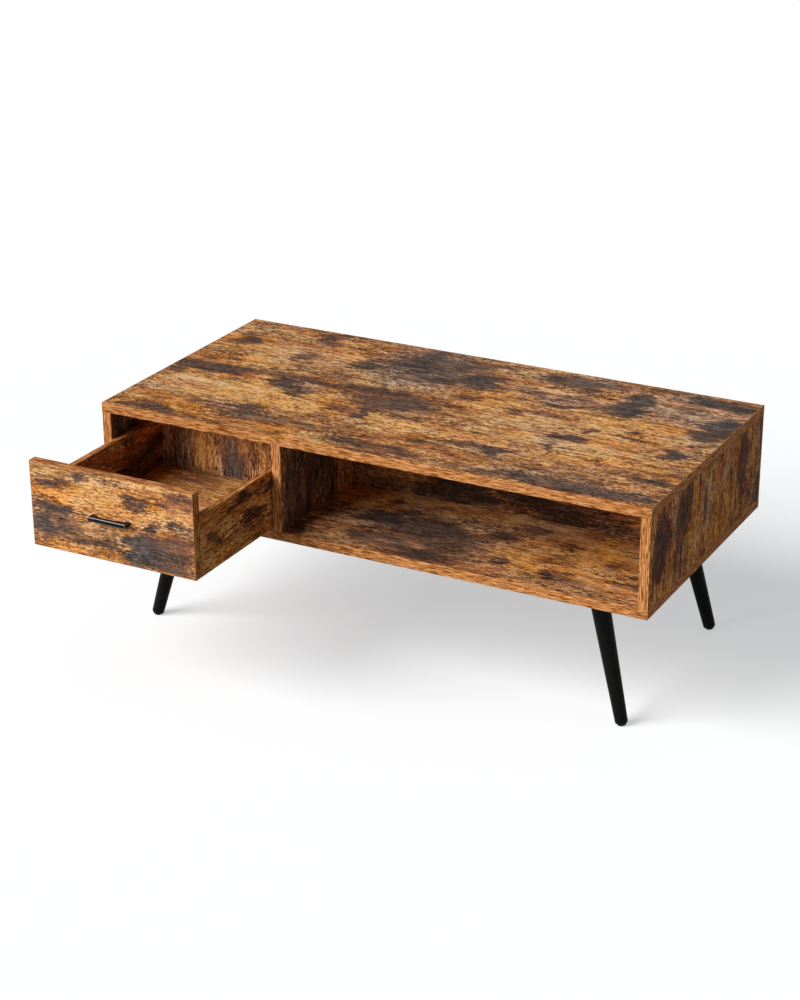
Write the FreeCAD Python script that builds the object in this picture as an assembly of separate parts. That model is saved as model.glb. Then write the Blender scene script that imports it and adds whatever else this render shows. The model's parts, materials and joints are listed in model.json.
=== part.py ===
import FreeCAD
import Part

import math
import os

Vec = FreeCAD.Vector

# Case, in millimetres
case_length = 1000.0
case_depth = 500.0
case_height = 186.0
board = 17.0
band = 1.0
band_round_share = 0.6
drawer_bay = 316.0
front_shelf_depth = 242.0

# Legs
leg_height = 221.0
leg_top_inset_x = 114.0
leg_top_inset_y = 72.0
leg_foot_inset_x = 56.0
leg_foot_inset_y = 53.0
leg_top_diameter = 32.0
leg_foot_diameter = 21.0
leg_foot_round = 3.0
foot_lift = 3.2

# Leg plates, pressed from sheet steel
plate = 2.5
plate_width = 66.0
plate_corner = 10.0
plate_screw_inset = 8.5
cup_diameter = 36.0
cup_round = 4.0
cup_drop = 12.0
nut_across_flats = 13.0
nut_height = 6.0

# Drawer
drawer_open = 233.0
drawer_side_gap = 2.0
drawer_top_gap = 1.5
drawer_board = 12.0
drawer_side_height = 103.0
drawer_side_length = 360.0
drawer_floor = 4.0
floor_rise = 8.0
groove_depth = 6.0

# Drawer running gear
glide_strip = 2.0
glide_strip_width = 12.0
glide_strip_setback = 3.0
stop_length = 24.0
stop_depth = 12.0
stop_height = 14.0
stop_inset = 78.0
run_clearance = 0.3

# Handle
handle_spacing = 64.0
handle_section = 8.0
handle_reach = 15.0
handle_edge_round_share = 0.1

# Case fittings
fitting_inset = 60.0
dowel_inset = 110.0
cam_diameter = 15.0
cam_setback = 24.0
cam_skin = 3.5
bolt_diameter = 6.0
bolt_neck_diameter = 4.0
bolt_neck_length = 6.0
bolt_channel = 7.6
dowel_diameter = 8.0
dowel_in_edge = 20.0
face_skin = 5.0
long_screw_diameter = 6.0
long_screw_head = 10.0
long_screw_head_height = 3.0
long_screw_bite = 34.0

# Drawer fittings
drawer_cam_diameter = 12.0
drawer_cam_setback = 18.0
drawer_cam_height = 74.0
drawer_cam_skin = 2.5
drawer_dowel_diameter = 6.0
drawer_dowel_height = 40.0
drawer_dowel_in_edge = 16.0
back_screw_diameter = 4.0
back_screw_head = 7.5
back_screw_head_height = 2.5
back_screw_bite = 24.0
back_screw_inset = 26.0

# Small screws, bolts and nails
small_screw_diameter = 4.0
small_screw_head = 8.0
small_screw_head_height = 2.4
screw_tip = 3.0
handle_screw_diameter = 4.0
handle_screw_head = 8.0
handle_screw_head_height = 2.4
handle_screw_bite = 8.0
hanger_diameter = 8.0
hanger_bite = 32.0
hanger_end_gap = 2.0
foot_glide_diameter = 15.0
foot_glide_height = 3.7
foot_glide_round = 1.5
nail_diameter = 2.5
nail_length = 12.0

# Clearances
fit = 0.12
end_gap = 0.6
overrun = 2.0

# Planes of the case: the floor is at zero, and the origin is under the middle of
# the rectangle that the case takes up together with the open drawer
reach_ahead = drawer_open + handle_reach
left = -case_length / 2
right = case_length / 2
front = -(case_depth - reach_ahead) / 2
rear = front + case_depth
under = leg_height
top = under + case_height
shelf_level = under + board
ceiling = top - board
left_in = left + board
divider_left = left_in + drawer_bay
divider_right = divider_left + board
right_in = right - board
shelf_back_front = front + front_shelf_depth
shelf_back_rear = shelf_back_front + board
bay_back_front = rear - board

# Planes of the drawer, where it stands open
drawer_front_y = front - drawer_open
drawer_box_y = drawer_front_y + board
drawer_rear_y = drawer_box_y + drawer_side_length
drawer_back_y = drawer_rear_y - drawer_board
drawer_left = left_in + drawer_side_gap
drawer_right = divider_left - drawer_side_gap
drawer_under = shelf_level + glide_strip + run_clearance
drawer_front_top = ceiling - drawer_top_gap
drawer_box_top = drawer_under + drawer_side_height
floor_under = drawer_under + floor_rise
floor_top = floor_under + drawer_floor
handle_x = (drawer_left + drawer_right) / 2
handle_z = (drawer_under + drawer_front_top) / 2


def block(x, y, z):
    """A box between the low and high value on each axis."""
    return Part.makeBox(x[1] - x[0], y[1] - y[0], z[1] - z[0], Vec(x[0], y[0], z[0]))


def square_block(middle, half, z):
    """A box that is square in plan, half a width to each side of a point."""
    return block((middle.x - half, middle.x + half), (middle.y - half, middle.y + half), z)


def rod(diameter, start, end):
    """A round rod between two points."""
    run = end - start
    return Part.makeCylinder(diameter / 2, run.Length, start, run)


def bore(diameter, mouth, into, depth):
    """The round hole, with its clearance, that a piece of that diameter needs below a mouth."""
    return rod(diameter + 2 * fit, mouth - into * overrun, mouth + into * depth)


def turned(profile):
    """The solid that a closed half outline of (radius, height) points or edges makes about Z."""
    return Part.Face(Part.Wire(profile)).revolve(Vec(0, 0, 0), Vec(0, 0, 1), 360)


def outline(points):
    """Straight edges round a closed half outline of (radius, height) points."""
    corners = [Vec(radius, 0, height) for radius, height in points]
    return [Part.makeLine(a, b) for a, b in zip(corners, corners[1:] + corners[:1])]


def placed(shape, point, direction):
    """A copy of a shape made along +Z, stood on a point and turned to a direction."""
    copy = shape.copy()
    copy.Placement = FreeCAD.Placement(point, FreeCAD.Rotation(Vec(0, 0, 1), direction))
    return copy


def cut(shape, tools):
    """One solid with every tool taken out of it."""
    return shape.cut(tools).Solids[0]


def save(node, *solids):
    """Writes one piece, or a group of like pieces, to its own file."""
    shape = solids[0] if len(solids) == 1 else Part.makeCompound(list(solids))
    shape.exportStep(os.path.join("parts", node + ".step"))


def pan_screw(diameter, head, head_height, length):
    """A pan head screw along +Z, with its head's seat at zero."""
    tip = min(screw_tip, length / 2)
    points = [(0, -head_height), (head / 2 - head_height / 2, -head_height), (head / 2, -head_height / 2)]
    points += [(head / 2, 0), (diameter / 2, 0), (diameter / 2, length - tip), (0, length)]
    return turned(outline(points))


def flush_screw(diameter, head, head_height, length):
    """A countersunk screw along +Z, with the flat of its head at zero."""
    tip = min(screw_tip, length / 2)
    points = [(0, 0), (head / 2, 0), (diameter / 2, head_height), (diameter / 2, length - tip)]
    return turned(outline(points + [(0, length)]))


def countersink(diameter, head, head_height, length):
    """The hole of a countersunk screw along +Z, open past the face at zero."""
    shank = diameter / 2 + fit
    mouth = head / 2 + fit
    points = [(0, -overrun), (mouth, -overrun), (mouth, fit), (shank, head_height + fit)]
    return turned(outline(points + [(shank, length + end_gap), (0, length + end_gap)]))


def banding(x, y, z, out):
    """An edge band with rounded long arrises on its outer face, which is on the axis and side of out."""
    axis, side = out
    strip = block(x, y, z)
    spans = [span[1] - span[0] for span in (x, y, z)]
    long_axis = spans.index(max(spans))
    outer = (x, y, z)[axis][1 if side > 0 else 0]
    tiny = spans[axis] / 4
    arrises = [
        edge
        for edge in strip.Edges
        if all(abs(corner.Point[axis] - outer) < tiny for corner in edge.Vertexes)
        and abs(edge.Vertexes[0].Point[long_axis] - edge.Vertexes[1].Point[long_axis]) > tiny
    ]
    return strip.makeFillet(spans[axis] * band_round_share, arrises)


# Uprights: each stands on the bottom panel and carries the top panel. A cam lock opens on the
# side that its face vector points to, and a run vector goes along the panel
class Upright:
    def __init__(self, x, y, run, face):
        self.x = x
        self.y = y
        self.run = run
        self.face = face

    def stations(self, inset):
        """Points on the centre line of the lower edge, one near each end."""
        middle = Vec(sum(self.x) / 2, sum(self.y) / 2, shelf_level)
        span = self.x if self.run.x else self.y
        reach = (span[1] - span[0]) / 2 - inset
        return [middle - self.run * reach, middle + self.run * reach]


full_run = (front, rear)
along_x = Vec(1, 0, 0)
along_y = Vec(0, 1, 0)
uprights = {
    "left_side_panel": Upright((left, left_in), full_run, along_y, along_x),
    "divider_panel": Upright((divider_left, divider_right), full_run, along_y, -along_x),
    "right_side_panel": Upright((right_in, right), full_run, along_y, -along_x),
    "shelf_back_panel": Upright(
        (divider_right, right_in), (shelf_back_front, shelf_back_rear), along_x, along_y
    ),
    "drawer_bay_back_panel": Upright((left_in, divider_left), (bay_back_front, rear), along_x, -along_y),
}
fitting_points = [p for upright in uprights.values() for p in upright.stations(fitting_inset)]
dowel_points = [p for upright in uprights.values() for p in upright.stations(dowel_inset)]
rise = Vec(0, 0, 1)
lift_to_ceiling = rise * (ceiling - shelf_level)
dowel_in_face = board - face_skin
cam_depth = board - cam_skin
bolt_bite = board - face_skin


def upright_panel(upright):
    """A board with cam pockets and bores at its top edge and bores for screws and dowels."""
    has_bands = upright.run.y
    y = (upright.y[0] + band, upright.y[1] - band) if has_bands else upright.y
    tools = []
    for foot in upright.stations(fitting_inset):
        head = foot + lift_to_ceiling
        pocket = head - rise * cam_setback + upright.face * (board / 2)
        tools.append(bore(cam_diameter, pocket, -upright.face, cam_depth + fit))
        tools.append(bore(bolt_channel, head, -rise, cam_setback))
        tools.append(bore(long_screw_diameter, foot, rise, long_screw_bite + end_gap))
    for foot in upright.stations(dowel_inset):
        head = foot + lift_to_ceiling
        tools.append(bore(dowel_diameter, foot, rise, dowel_in_edge + end_gap))
        tools.append(bore(dowel_diameter, head, -rise, dowel_in_edge + end_gap))
    return cut(block(upright.x, y, (shelf_level, ceiling)), tools)


def banded_slab(z):
    """The core of the top or bottom panel, inside its edge bands."""
    return block((left + band, right - band), (front + band, rear - band), z)


def slab_bands(z):
    """Front, rear, left and right bands of the top or bottom panel."""
    ends = (front + band, rear - band)
    return [
        banding((left, right), (front, front + band), z, (1, -1)),
        banding((left, right), (rear - band, rear), z, (1, 1)),
        banding((left, left + band), ends, z, (0, -1)),
        banding((right - band, right), ends, z, (0, 1)),
    ]


def top_panel():
    bolt_mouths = [foot + lift_to_ceiling for foot in fitting_points]
    dowel_mouths = [foot + lift_to_ceiling for foot in dowel_points]
    tools = [bore(bolt_diameter, mouth, rise, bolt_bite + fit) for mouth in bolt_mouths]
    tools += [bore(dowel_diameter, mouth, rise, dowel_in_face + fit) for mouth in dowel_mouths]
    return cut(banded_slab((ceiling, top)), tools)


def bottom_panel():
    tools = [placed(long_screw_hole(), foot - rise * board, rise) for foot in fitting_points]
    tools += [bore(dowel_diameter, foot, -rise, dowel_in_face + fit) for foot in dowel_points]
    for leg in legs:
        for seat in leg.screw_points():
            tools.append(bore(small_screw_diameter, seat, rise, plate_screw_bite + end_gap))
    tools += [bore(small_screw_diameter, seat, -rise, stop_screw_bite + end_gap) for seat in stop_points]
    return cut(banded_slab((under, shelf_level)), tools)


def long_screw_hole():
    return countersink(long_screw_diameter, long_screw_head, long_screw_head_height, board + overrun)


def cam_bolt(bite, reach):
    """Screwed into a face at zero, with a neck and a head that reaches down into a cam lock."""
    shank = bolt_diameter / 2
    neck = bolt_neck_diameter / 2
    shoulder = bolt_neck_length - reach
    points = [(0, bite), (shank, bite), (shank, shoulder), (neck, shoulder)]
    points += [(neck, neck - reach), (shank, neck - reach), (shank, -neck - reach), (0, -neck - reach)]
    return turned(outline(points))


def cam_lock(diameter, depth, centre_depth):
    """A drum whose mouth is at zero, with a channel from its rim, on the +X side, to past its middle."""
    drum = Part.makeCylinder(diameter / 2, depth, Vec(0, 0, 0), Vec(0, 0, -1))
    channel_end = Vec(-bolt_channel / 2, 0, -centre_depth)
    return cut(drum, [rod(bolt_channel, channel_end, Vec(diameter, 0, -centre_depth))])


def turned_cam(lock, mouth, face, towards):
    """A cam lock set in its pocket, with its mouth's normal along face and its channel towards the bolt."""
    side = face.cross(towards)
    matrix = FreeCAD.Matrix(
        towards.x, side.x, face.x, mouth.x,
        towards.y, side.y, face.y, mouth.y,
        towards.z, side.z, face.z, mouth.z,
        0, 0, 0, 1,
    )
    return placed_by(lock, matrix)


def placed_by(shape, matrix):
    copy = shape.copy()
    copy.Placement = FreeCAD.Placement(matrix)
    return copy


def case_cams():
    lock = cam_lock(cam_diameter, cam_depth, board / 2)
    found = []
    for upright in uprights.values():
        for foot in upright.stations(fitting_inset):
            cam = foot + lift_to_ceiling - rise * cam_setback
            found.append(turned_cam(lock, cam + upright.face * (board / 2), upright.face, rise))
    return found


# Legs: the axis runs from a point on the case's underside to a point on the floor
class Leg:
    def __init__(self, name, side_x, side_y):
        self.name = name
        corner = Vec(right if side_x > 0 else left, rear if side_y > 0 else front, 0)
        self.head = corner - Vec(side_x * leg_top_inset_x, side_y * leg_top_inset_y, -under)
        self.foot = corner - Vec(side_x * leg_foot_inset_x, side_y * leg_foot_inset_y, 0)
        run = self.head - self.foot
        self.up = run / run.Length
        self.seat = self.head - self.up * cup_drop
        self.end = self.foot + self.up * (foot_lift / self.up.z)
        self.length = (self.seat - self.end).Length

    def screw_points(self):
        """Seats of the plate screws on the underside of the case."""
        reach = plate_width / 2 - plate_screw_inset
        return [self.head + Vec(x * reach, y * reach, 0) for x in (-1, 1) for y in (-1, 1)]


legs = [
    Leg(fore + "_" + hand, side_x, side_y)
    for fore, side_y in (("front", -1), ("rear", 1))
    for hand, side_x in (("left", -1), ("right", 1))
]
plate_screw_bite = board - face_skin
stop_screw_bite = board - face_skin
hanger_length = cup_drop - hanger_end_gap + hanger_bite


def leg_solid(leg):
    """A turned taper with a rounded end, bored for its bolt and its glide's nail."""
    foot = leg_foot_diameter / 2
    head = leg_top_diameter / 2
    flat = foot - leg_foot_round
    turn = leg_foot_round * math.sqrt(0.5)
    corner = Part.Arc(
        Vec(flat, 0, 0), Vec(flat + turn, 0, leg_foot_round - turn), Vec(foot, 0, leg_foot_round)
    ).toShape()
    points = [Vec(foot, 0, leg_foot_round), Vec(head, 0, leg.length), Vec(0, 0, leg.length), Vec(0, 0, 0)]
    lines = [Part.makeLine(a, b) for a, b in zip(points, points[1:] + [Vec(flat, 0, 0)])]
    taper = turned([corner] + lines)
    bolt_hole = bore(hanger_diameter, rise * leg.length, -rise, hanger_bite + end_gap)
    nail_hole = bore(nail_diameter, Vec(0, 0, 0), rise, nail_length + end_gap)
    return placed(cut(taper, [bolt_hole, nail_hole]), leg.end, leg.up)


def foot_glide(leg):
    """A nailed disc on the leg's end, worn flat where it stands on the floor."""
    rim = foot_glide_diameter / 2
    points = [(0, nail_length), (nail_diameter / 2, nail_length - nail_diameter), (nail_diameter / 2, 0)]
    points += [(rim, 0), (rim, foot_glide_round - foot_glide_height)]
    points += [(rim - foot_glide_round, -foot_glide_height), (0, -foot_glide_height)]
    disc = placed(turned(outline(points)), leg.end, leg.up)
    below = square_block(leg.end, foot_glide_diameter, (-foot_glide_diameter, 0))
    return cut(disc, [below])


def leg_plate(leg):
    """A square flange with a slanted cup pressed down to the leg, and a nut welded in the cup."""
    flange = square_block(leg.head, plate_width / 2, (under - plate, under))
    uprights_of_flange = [
        edge for edge in flange.Edges if abs(edge.Vertexes[0].Z - edge.Vertexes[1].Z) > plate / 2
    ]
    flange = flange.makeFillet(plate_corner, uprights_of_flange)
    radius = cup_diameter / 2
    drum = Part.makeCylinder(radius, cup_drop + radius, leg.seat, leg.up)
    lower_rim = [edge for edge in drum.Edges if edge.BoundBox.ZMax < leg.head.z and len(edge.Vertexes) == 1]
    drum = drum.makeFillet(cup_round, lower_rim)
    above = square_block(leg.head, plate_width, (under, under + plate_width))
    pressed = flange.fuse(cut(drum, [above])).Solids[0]
    hollow = Part.makeCylinder(radius - plate, cup_drop + radius, leg.seat + leg.up * plate, leg.up)
    pressed = cut(pressed, [hollow])
    nut = placed(hexagon(nut_across_flats, nut_height), leg.seat + leg.up * plate, leg.up)
    welded = pressed.fuse(nut).removeSplitter().Solids[0]
    bolt_hole = bore(hanger_diameter, leg.seat, leg.up, cup_drop)
    screw_holes = [bore(small_screw_diameter, seat, -rise, plate + overrun) for seat in leg.screw_points()]
    return cut(welded, [bolt_hole] + screw_holes)


def hexagon(across_flats, height):
    """A six-sided prism on the plane at zero."""
    corner = across_flats / math.sqrt(3)
    points = [Vec(corner * math.cos(turn), corner * math.sin(turn), 0) for turn in sixths]
    return Part.Face(Part.makePolygon(points + points[:1])).extrude(rise * height)


sixths = [index * math.pi / 3 for index in range(6)]


def hanger_bolt(leg):
    start = leg.seat + leg.up * (cup_drop - hanger_end_gap)
    return rod(hanger_diameter, start, start - leg.up * hanger_length)


def leg_plate_screws():
    screw = pan_screw(
        small_screw_diameter, small_screw_head, small_screw_head_height, plate + plate_screw_bite
    )
    return [placed(screw, seat - rise * plate, rise) for leg in legs for seat in leg.screw_points()]


# Drawer stops stand on the bottom panel behind the closed drawer
stop_front = drawer_rear_y + drawer_open + run_clearance
stop_points = [
    Vec(x, stop_front + stop_depth / 2, shelf_level)
    for x in (drawer_left + stop_inset, drawer_right - stop_inset)
]


def drawer_stop(seat):
    half = stop_length / 2
    body = block(
        (seat.x - half, seat.x + half),
        (stop_front, stop_front + stop_depth),
        (shelf_level, shelf_level + stop_height),
    )
    return cut(body, [bore(small_screw_diameter, seat, rise, stop_height + overrun)])


def stop_screw(seat):
    length = stop_height + stop_screw_bite
    screw = pan_screw(small_screw_diameter, small_screw_head, small_screw_head_height, length)
    return placed(screw, seat + rise * stop_height, -rise)


def glide_strips():
    y = (front + glide_strip_setback, bay_back_front)
    z = (shelf_level, shelf_level + glide_strip)
    return [
        block((drawer_left, drawer_left + glide_strip_width), y, z),
        block((drawer_right - glide_strip_width, drawer_right), y, z),
    ]


# Drawer: its pieces are listed by hand, left first
drawer_hands = {
    "left": (drawer_left, along_x),
    "right": (drawer_right, -along_x),
}
inner_left = drawer_left + drawer_board
inner_right = drawer_right - drawer_board
cam_level = drawer_under + drawer_cam_height
dowel_level = drawer_under + drawer_dowel_height
drawer_cam_depth = drawer_board - drawer_cam_skin
front_bite = board - face_skin
screw_levels = [drawer_under + floor_rise + back_screw_inset, drawer_box_top - back_screw_inset]
back_middle_y = (drawer_back_y + drawer_rear_y) / 2


def side_middle(hand):
    """The middle plane of a drawer side, at its front end on the floor of the drawer box."""
    outer, inward = drawer_hands[hand]
    return Vec(outer, drawer_box_y, 0) + inward * (drawer_board / 2)


def floor_slot(x, y):
    return block(x, y, (floor_under - fit, floor_top + fit))


def drawer_front():
    core = block(
        (drawer_left + band, drawer_right - band),
        (drawer_front_y, drawer_box_y),
        (drawer_under + band, drawer_front_top - band),
    )
    tools = [floor_slot((inner_left - groove_depth, inner_right + groove_depth),
                        (drawer_box_y - groove_depth, drawer_box_y + overrun))]
    for hand in drawer_hands:
        middle = side_middle(hand)
        for level, diameter in ((cam_level, bolt_diameter), (dowel_level, drawer_dowel_diameter)):
            tools.append(bore(diameter, middle + rise * level, -along_y, front_bite + fit))
    for x in handle_screw_xs:
        seat = Vec(x, drawer_box_y, handle_z)
        tools.append(bore(handle_screw_diameter, seat, -along_y, board + overrun))
    return cut(core, tools)


handle_screw_xs = (handle_x - handle_spacing / 2, handle_x + handle_spacing / 2)


def drawer_front_bands():
    y = (drawer_front_y, drawer_box_y)
    x = (drawer_left, drawer_right)
    z = (drawer_under + band, drawer_front_top - band)
    return [
        banding(x, y, (drawer_front_top - band, drawer_front_top), (2, 1)),
        banding(x, y, (drawer_under, drawer_under + band), (2, -1)),
        banding((drawer_left, drawer_left + band), y, z, (0, -1)),
        banding((drawer_right - band, drawer_right), y, z, (0, 1)),
    ]


def drawer_side(hand):
    """A side with a groove for the floor, bores at its front end and screw holes at its back."""
    outer, inward = drawer_hands[hand]
    inner = outer + inward.x * drawer_board
    deep = inner - inward.x * groove_depth
    past = inner + inward.x * overrun
    core = block(
        sorted((outer, inner)), (drawer_box_y, drawer_rear_y), (drawer_under, drawer_box_top - band)
    )
    slot_end = drawer_back_y + groove_depth
    tools = [floor_slot(sorted((deep, past)), (drawer_box_y - overrun, slot_end))]
    middle = side_middle(hand)
    bolt_mouth = middle + rise * cam_level
    pocket = bolt_mouth + along_y * drawer_cam_setback + inward * (drawer_board / 2)
    tools.append(bore(drawer_cam_diameter, pocket, -inward, drawer_cam_depth + fit))
    tools.append(bore(bolt_channel, bolt_mouth, along_y, drawer_cam_setback))
    dowel_mouth = middle + rise * dowel_level
    tools.append(bore(drawer_dowel_diameter, dowel_mouth, along_y, drawer_dowel_in_edge + end_gap))
    hole = countersink(back_screw_diameter, back_screw_head, back_screw_head_height, drawer_board + overrun)
    tools += [placed(hole, point, inward) for point in back_screw_points(hand)]
    return cut(core, tools)


def back_screw_points(hand):
    outer = drawer_hands[hand][0]
    return [Vec(outer, back_middle_y, level) for level in screw_levels]


def drawer_back():
    core = block(
        (inner_left, inner_right), (drawer_back_y, drawer_rear_y), (drawer_under, drawer_box_top - band)
    )
    tools = [floor_slot((inner_left - overrun, inner_right + overrun),
                        (drawer_back_y - overrun, drawer_back_y + groove_depth))]
    for hand, (outer, inward) in drawer_hands.items():
        for point in back_screw_points(hand):
            mouth = point + inward * drawer_board
            tools.append(bore(back_screw_diameter, mouth, inward, back_screw_bite + end_gap))
    return cut(core, tools)


def drawer_floor_panel():
    reach = groove_depth - end_gap
    return block(
        (inner_left - reach, inner_right + reach),
        (drawer_box_y - reach, drawer_back_y + reach),
        (floor_under, floor_top),
    )


def drawer_box_bands():
    z = (drawer_box_top - band, drawer_box_top)
    y = (drawer_box_y, drawer_rear_y)
    return [
        banding((drawer_left, inner_left), y, z, (2, 1)),
        banding((inner_right, drawer_right), y, z, (2, 1)),
        banding((inner_left, inner_right), (drawer_back_y, drawer_rear_y), z, (2, 1)),
    ]


def drawer_cams():
    lock = cam_lock(drawer_cam_diameter, drawer_cam_depth, drawer_board / 2)
    found = []
    for hand, (outer, inward) in drawer_hands.items():
        cam = side_middle(hand) + rise * cam_level + along_y * drawer_cam_setback
        found.append(turned_cam(lock, cam + inward * (drawer_board / 2), inward, -along_y))
    return found


def drawer_dowels():
    found = []
    for hand in drawer_hands:
        mouth = side_middle(hand) + rise * dowel_level
        start = mouth - along_y * (front_bite - end_gap)
        found.append(rod(drawer_dowel_diameter, start, mouth + along_y * drawer_dowel_in_edge))
    return found


def drawer_back_screws():
    screw = flush_screw(
        back_screw_diameter, back_screw_head, back_screw_head_height, drawer_board + back_screw_bite
    )
    return [
        placed(screw, point, inward)
        for hand, (outer, inward) in drawer_hands.items()
        for point in back_screw_points(hand)
    ]


def drawer_handle():
    """A square bar bent into a bracket, with a blind hole in each leg."""
    half = (handle_spacing + handle_section) / 2
    inner = (handle_spacing - handle_section) / 2
    face_y = drawer_front_y - handle_reach
    z = (handle_z - handle_section / 2, handle_z + handle_section / 2)
    bar = block((handle_x - half, handle_x + half), (face_y, drawer_front_y), z)
    gap = block(
        (handle_x - inner, handle_x + inner),
        (face_y + handle_section, drawer_front_y + overrun),
        (z[0] - overrun, z[1] + overrun),
    )
    bracket = cut(bar, [gap])
    front_edges = [
        edge for edge in bracket.Edges if all(abs(v.Y - face_y) < handle_section / 4 for v in edge.Vertexes)
    ]
    bracket = bracket.makeFillet(handle_section * handle_edge_round_share, front_edges)
    mouths = [Vec(x, drawer_front_y, handle_z) for x in handle_screw_xs]
    holes = [bore(handle_screw_diameter, mouth, -along_y, handle_screw_bite + end_gap) for mouth in mouths]
    return cut(bracket, holes)


def handle_screws():
    screw = pan_screw(
        handle_screw_diameter, handle_screw_head, handle_screw_head_height, board + handle_screw_bite
    )
    return [placed(screw, Vec(x, drawer_box_y, handle_z), -along_y) for x in handle_screw_xs]


os.makedirs("parts", exist_ok=True)

save("top_panel", top_panel())
save("bottom_panel", bottom_panel())
for name, upright in uprights.items():
    save(name, upright_panel(upright))
save("top_panel_edge_bands", *slab_bands((ceiling, top)))
save("bottom_panel_edge_bands", *slab_bands((under, shelf_level)))
save(
    "upright_edge_bands",
    *[
        banding(upright.x, y, (shelf_level, ceiling), (1, side))
        for upright in uprights.values()
        if upright.run.y
        for y, side in (((front, front + band), -1), ((rear - band, rear), 1))
    ],
)
case_bolt = cam_bolt(bolt_bite, cam_setback)
save("cam_bolts", *[placed(case_bolt, foot + lift_to_ceiling, rise) for foot in fitting_points])
save("cam_locks", *case_cams())
dowel_low = rise * (dowel_in_face - end_gap)
dowel_high = rise * dowel_in_edge
save("bottom_dowels", *[rod(dowel_diameter, p - dowel_low, p + dowel_high) for p in dowel_points])
heads = [p + lift_to_ceiling for p in dowel_points]
save("top_dowels", *[rod(dowel_diameter, p - dowel_high, p + dowel_low) for p in heads])
long_screw = flush_screw(
    long_screw_diameter, long_screw_head, long_screw_head_height, board + long_screw_bite
)
save("bottom_screws", *[placed(long_screw, foot - rise * board, rise) for foot in fitting_points])
for leg in legs:
    save(leg.name + "_leg", leg_solid(leg))
    save(leg.name + "_leg_plate", leg_plate(leg))
save("hanger_bolts", *[hanger_bolt(leg) for leg in legs])
save("leg_plate_screws", *leg_plate_screws())
save("foot_glides", *[foot_glide(leg) for leg in legs])
save("drawer_glide_strips", *glide_strips())
save("drawer_stops", *[drawer_stop(seat) for seat in stop_points])
save("drawer_stop_screws", *[stop_screw(seat) for seat in stop_points])
save("drawer_front", drawer_front())
save("drawer_front_edge_bands", *drawer_front_bands())
for hand in drawer_hands:
    save("drawer_" + hand + "_side", drawer_side(hand))
save("drawer_back", drawer_back())
save("drawer_bottom", drawer_floor_panel())
save("drawer_box_edge_bands", *drawer_box_bands())
front_bolt = cam_bolt(front_bite, drawer_cam_setback)
save(
    "drawer_cam_bolts",
    *[placed(front_bolt, side_middle(hand) + rise * cam_level, -along_y) for hand in drawer_hands],
)
save("drawer_cam_locks", *drawer_cams())
save("drawer_dowels", *drawer_dowels())
save("drawer_back_screws", *drawer_back_screws())
save("drawer_handle", drawer_handle())
save("handle_screws", *handle_screws())
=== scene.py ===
import json
import math

import bmesh
import bpy
from mathutils import Matrix, Vector


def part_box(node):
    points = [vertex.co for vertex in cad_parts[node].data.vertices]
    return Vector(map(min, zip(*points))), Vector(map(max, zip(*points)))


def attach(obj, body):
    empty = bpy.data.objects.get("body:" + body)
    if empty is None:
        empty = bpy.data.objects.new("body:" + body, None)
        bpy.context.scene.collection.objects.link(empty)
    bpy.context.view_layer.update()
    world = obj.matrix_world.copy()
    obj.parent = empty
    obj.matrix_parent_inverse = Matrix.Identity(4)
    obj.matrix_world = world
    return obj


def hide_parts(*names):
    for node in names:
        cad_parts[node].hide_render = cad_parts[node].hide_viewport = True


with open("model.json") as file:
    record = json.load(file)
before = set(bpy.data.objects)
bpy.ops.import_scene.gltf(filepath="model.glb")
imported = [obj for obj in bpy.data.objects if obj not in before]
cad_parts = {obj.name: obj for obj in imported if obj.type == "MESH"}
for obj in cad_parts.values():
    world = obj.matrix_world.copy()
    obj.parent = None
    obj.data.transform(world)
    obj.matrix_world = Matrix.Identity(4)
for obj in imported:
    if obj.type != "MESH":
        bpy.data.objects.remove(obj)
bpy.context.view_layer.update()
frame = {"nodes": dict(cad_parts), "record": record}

# Camera, in metres and radians, for a frame of 800 by 1000
camera_lens_mm = 81.708
camera_sensor_mm = 36.0
camera_azimuth = 0.48934
camera_elevation = 0.40113
camera_roll = -0.00458
camera_distance = 3.69033
camera_target = Vector((0.040934, -0.068885, 0.311))

# Light
key_direction = Vector((-0.62, -0.74, 0.64))
key_strength = 3.55
key_spread = 0.75
ambient_strength = 0.13
ambient_colour = (1.0, 0.99, 0.97, 1.0)
plain_white = (1.0, 1.0, 1.0, 1.0)

# Floor: its bounce, the shadow that the eye sees, and its own white, cool against the wood's warm bounce
floor_bounce = 0.42
floor_shown = 0.70
floor_own_white = (0.467, 0.48, 0.49)
floor_fade = (1.1, 2.2)
floor_half = 8.0
floor_roughness = 0.9

# Decor print from its darkest to its palest tone, as 8-bit sRGB in plain light
decor_tones = [
    (56, 38, 27),
    (90, 63, 46),
    (120, 85, 63),
    (147, 102, 73),
    (179, 125, 83),
    (208, 152, 97),
    (238, 186, 124),
    (252, 208, 152),
]
smoke_tones = [(50, 40, 34), (86, 74, 68), (116, 98, 86), (146, 120, 100)]
russet_tint = (255, 236, 224)
band_stops = [(0.0, (132, 72, 28)), (0.34, (177, 110, 55)), (0.6, (202, 132, 74)), (1.0, (235, 167, 107))]
chip_stops = [(0.1, (128, 94, 60)), (0.9, (196, 164, 118))]

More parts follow.
